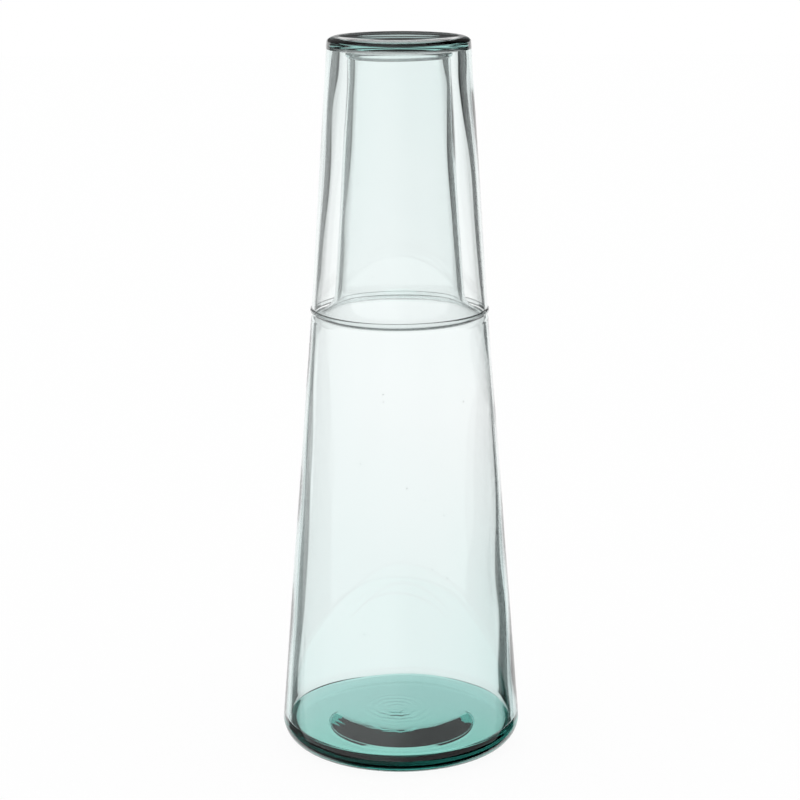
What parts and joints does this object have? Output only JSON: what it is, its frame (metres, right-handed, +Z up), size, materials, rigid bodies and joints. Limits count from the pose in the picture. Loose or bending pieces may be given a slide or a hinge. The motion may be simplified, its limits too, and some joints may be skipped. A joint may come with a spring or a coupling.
{
  "type": "bedside carafe with tumbler",
  "caption": "Tapered blown-glass water carafe with a rounded shoulder and slim neck, covered by an upturned drinking tumbler that rests on the shoulder and lifts off.",
  "frame": {"origin": "on the table under the middle of the carafe's foot ring", "axes": "+Z up along the axis both pieces are turned about; X and Y are free, because the object is round"},
  "size_m": [0.095, 0.095, 0.28],
  "materials": {
    "carafe_glass": "clear recycled glass, hand blown, with a green-blue tint where it is thick",
    "tumbler_glass": "clear recycled glass, hand blown, with a green-blue tint where it is thick"
  },
  "bodies": {
    "carafe": {"carafe": "carafe_glass"},
    "tumbler": {"tumbler": "tumbler_glass"}
  },
  "joints": [
    {"name": "tumbler_lift", "type": "slide", "parent": "carafe", "child": "tumbler", "axis": [0, 0, 1], "range_m": [0, 0.12]}
  ]
}
